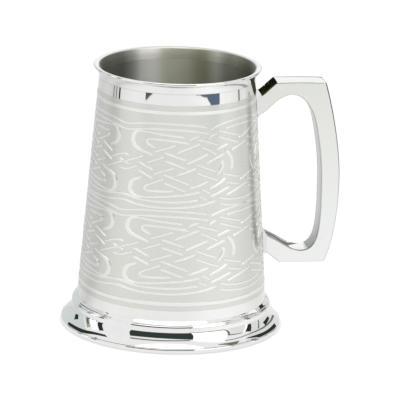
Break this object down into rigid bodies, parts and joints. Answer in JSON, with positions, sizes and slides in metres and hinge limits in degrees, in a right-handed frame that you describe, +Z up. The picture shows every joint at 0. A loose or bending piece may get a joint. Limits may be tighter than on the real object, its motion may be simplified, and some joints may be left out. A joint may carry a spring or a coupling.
{
  "type": "pewter tankard",
  "caption": "Open-topped tapered drinking tankard in pewter, with flared lip, embossed interlace panels, spread base moulding and flat-sided D handle.",
  "frame": {"origin": "on the table, under the middle of the tankard's overall length and width, handle included; the cup's own axis stands 13.2 mm back from it", "axes": "+Z up along the cup's axis, +X towards the handle"},
  "size_m": [0.1326, 0.1062, 0.1276],
  "materials": {
    "satin_pewter": "satin pewter sheet with polished raised lines",
    "polished_pewter": "hand-polished pewter",
    "brushed_pewter": "circular brushed pewter",
    "cast_pewter": "satin cast pewter with polished edges",
    "solder": "smoothed pewter solder"
  },
  "bodies": {
    "root": {"body_wall": "satin_pewter", "side_seam": "solder", "lip_ring": "polished_pewter", "floor_disc": "brushed_pewter", "floor_solder_ring": "solder", "base_moulding": "polished_pewter", "base_solder_ring": "solder", "foot_ring": "polished_pewter", "handle": "cast_pewter", "upper_handle_solder": "solder", "lower_handle_solder": "solder"}
  },
  "joints": []
}
